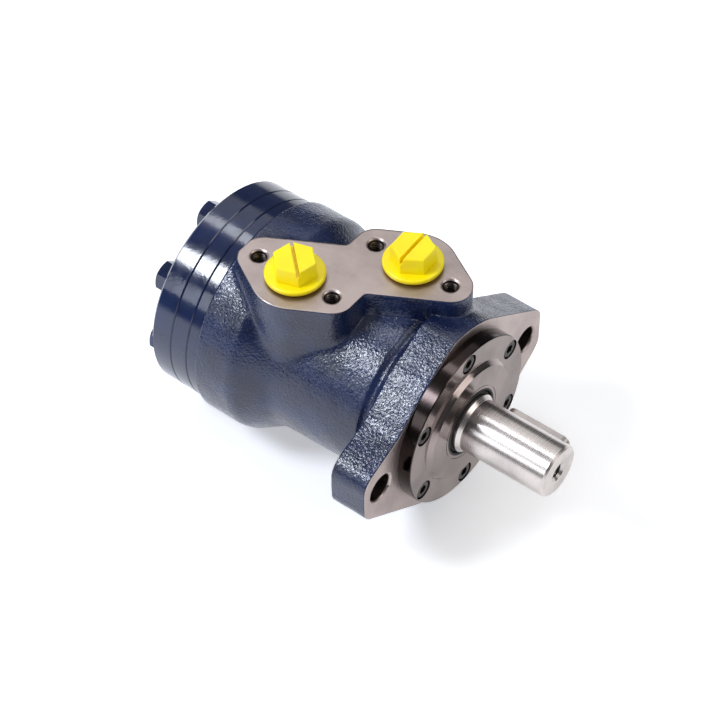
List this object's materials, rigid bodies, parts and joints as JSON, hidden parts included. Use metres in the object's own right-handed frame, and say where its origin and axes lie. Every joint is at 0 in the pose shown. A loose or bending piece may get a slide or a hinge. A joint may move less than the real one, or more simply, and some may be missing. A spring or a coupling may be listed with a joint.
{
  "type": "hydraulic motor",
  "caption": "Orbital hydraulic motor with an oval two-bolt flange, keyed output shaft, offset screw-in ports on a flat pad, and a roller gear set behind.",
  "frame": {"origin": "centre of the mounting flange's front face, on the shaft's axis", "axes": "+X along the shaft, out of the motor; +Y along the flange's long axis; +Z the way the port face looks"},
  "size_m": [0.194, 0.129, 0.1183],
  "materials": {
    "painted_casting": "glossy navy paint over a rough sand casting, port face and flange face bare",
    "painted_steel": "glossy navy paint on smooth turned steel",
    "painted_bolts": "glossy navy paint, thin over the bolt heads",
    "machined_steel": "fine turned, bare, warm grey",
    "ground_steel": "ground bright steel",
    "key_steel": "milled bare steel",
    "bearing_steel": "ground hardened steel",
    "black_screws": "blackened alloy steel",
    "seal_rubber": "black moulded rubber",
    "yellow_plastic": "bright yellow polyethylene, slightly waxy"
  },
  "bodies": {
    "casing": {"housing": "painted_casting", "front_cover": "machined_steel", "cover_screws": "black_screws", "dust_seal": "seal_rubber", "shaft_seal": "seal_rubber", "cover_o_ring": "seal_rubber", "thrust_washer_front": "bearing_steel", "spacer_plate": "painted_steel", "gear_ring": "painted_steel", "end_cover": "painted_steel", "end_cover_bolts": "painted_bolts", "bolt_washers": "painted_bolts", "housing_o_ring": "seal_rubber", "spacer_o_ring": "seal_rubber", "end_cover_o_ring": "seal_rubber", "drain_plug": "black_screws", "drain_washer": "bearing_steel"},
    "shaft": {"output_shaft": "ground_steel", "shaft_key": "key_steel", "thrust_washer_rear": "bearing_steel"},
    "thrust_bearing": {"thrust_cage": "bearing_steel", "thrust_needles": "bearing_steel"},
    "orbit": {"cardan_spacer": "bearing_steel"},
    "rotor": {"rotor": "ground_steel"},
    "cardan": {"cardan_shaft": "ground_steel"},
    "rear_plug": {"port_plug_rear": "yellow_plastic"},
    "front_plug": {"port_plug_front": "yellow_plastic"},
    "roller_1_body": {"roller_1": "bearing_steel"},
    "roller_2_body": {"roller_2": "bearing_steel"},
    "roller_3_body": {"roller_3": "bearing_steel"},
    "roller_4_body": {"roller_4": "bearing_steel"},
    "roller_5_body": {"roller_5": "bearing_steel"},
    "roller_6_body": {"roller_6": "bearing_steel"},
    "roller_7_body": {"roller_7": "bearing_steel"}
  },
  "joints": [
    {"name": "shaft_spin", "type": "hinge", "parent": "casing", "child": "shaft", "pos_m": [0, 0, 0], "axis": [1, 0, 0], "continuous": true},
    {"name": "rotor_orbit", "type": "hinge", "parent": "casing", "child": "orbit", "pos_m": [-0.1198, 0, 0], "axis": [1, 0, 0], "continuous": true},
    {"name": "rotor_turn", "type": "hinge", "parent": "orbit", "child": "rotor", "pos_m": [-0.1198, -0.00139, 0.00288], "axis": [1, 0, 0], "continuous": true},
    {"name": "cardan_turn", "type": "hinge", "parent": "orbit", "child": "cardan", "pos_m": [-0.053, 0, 0], "axis": [0.9986, 0.0228, -0.0473], "continuous": true},
    {"name": "thrust_bearing_spin", "type": "hinge", "parent": "casing", "child": "thrust_bearing", "pos_m": [-0.0095, 0, 0], "axis": [1, 0, 0], "continuous": true},
    {"name": "roller_1_spin", "type": "hinge", "parent": "casing", "child": "roller_1_body", "pos_m": [-0.1198, -0.01345, 0.02793], "axis": [1, 0, 0], "continuous": true},
    {"name": "roller_2_spin", "type": "hinge", "parent": "casing", "child": "roller_2_body", "pos_m": [-0.1198, -0.03022, 0.0069], "axis": [1, 0, 0], "continuous": true},
    {"name": "roller_3_spin", "type": "hinge", "parent": "casing", "child": "roller_3_body", "pos_m": [-0.1198, -0.02424, -0.01933], "axis": [1, 0, 0], "continuous": true},
    {"name": "roller_4_spin", "type": "hinge", "parent": "casing", "child": "roller_4_body", "pos_m": [-0.1198, 0, -0.031], "axis": [1, 0, 0], "continuous": true},
    {"name": "roller_5_spin", "type": "hinge", "parent": "casing", "child": "roller_5_body", "pos_m": [-0.1198, 0.02424, -0.01933], "axis": [1, 0, 0], "continuous": true},
    {"name": "roller_6_spin", "type": "hinge", "parent": "casing", "child": "roller_6_body", "pos_m": [-0.1198, 0.03022, 0.0069], "axis": [1, 0, 0], "continuous": true},
    {"name": "roller_7_spin", "type": "hinge", "parent": "casing", "child": "roller_7_body", "pos_m": [-0.1198, 0.01345, 0.02793], "axis": [1, 0, 0], "continuous": true},
    {"name": "rear_plug_pull", "type": "slide", "parent": "casing", "child": "rear_plug", "axis": [0, 0, 1], "range_m": [0, 0.03]},
    {"name": "front_plug_pull", "type": "slide", "parent": "casing", "child": "front_plug", "axis": [0, 0, 1], "range_m": [0, 0.03]}
  ],
  "couplings": [
    {"joint": "rotor_orbit", "follows": "shaft_spin", "ratio": -6},
    {"joint": "rotor_turn", "follows": "shaft_spin", "ratio": 7},
    {"joint": "cardan_turn", "follows": "shaft_spin", "ratio": 7},
    {"joint": "thrust_bearing_spin", "follows": "shaft_spin", "ratio": 0.5},
    {"joint": "roller_1_spin", "follows": "shaft_spin", "ratio": -4.5},
    {"joint": "roller_2_spin", "follows": "shaft_spin", "ratio": -4.5},
    {"joint": "roller_3_spin", "follows": "shaft_spin", "ratio": -4.5},
    {"joint": "roller_4_spin", "follows": "shaft_spin", "ratio": -4.5},
    {"joint": "roller_5_spin", "follows": "shaft_spin", "ratio": -4.5},
    {"joint": "roller_6_spin", "follows": "shaft_spin", "ratio": -4.5},
    {"joint": "roller_7_spin", "follows": "shaft_spin", "ratio": -4.5}
  ]
}
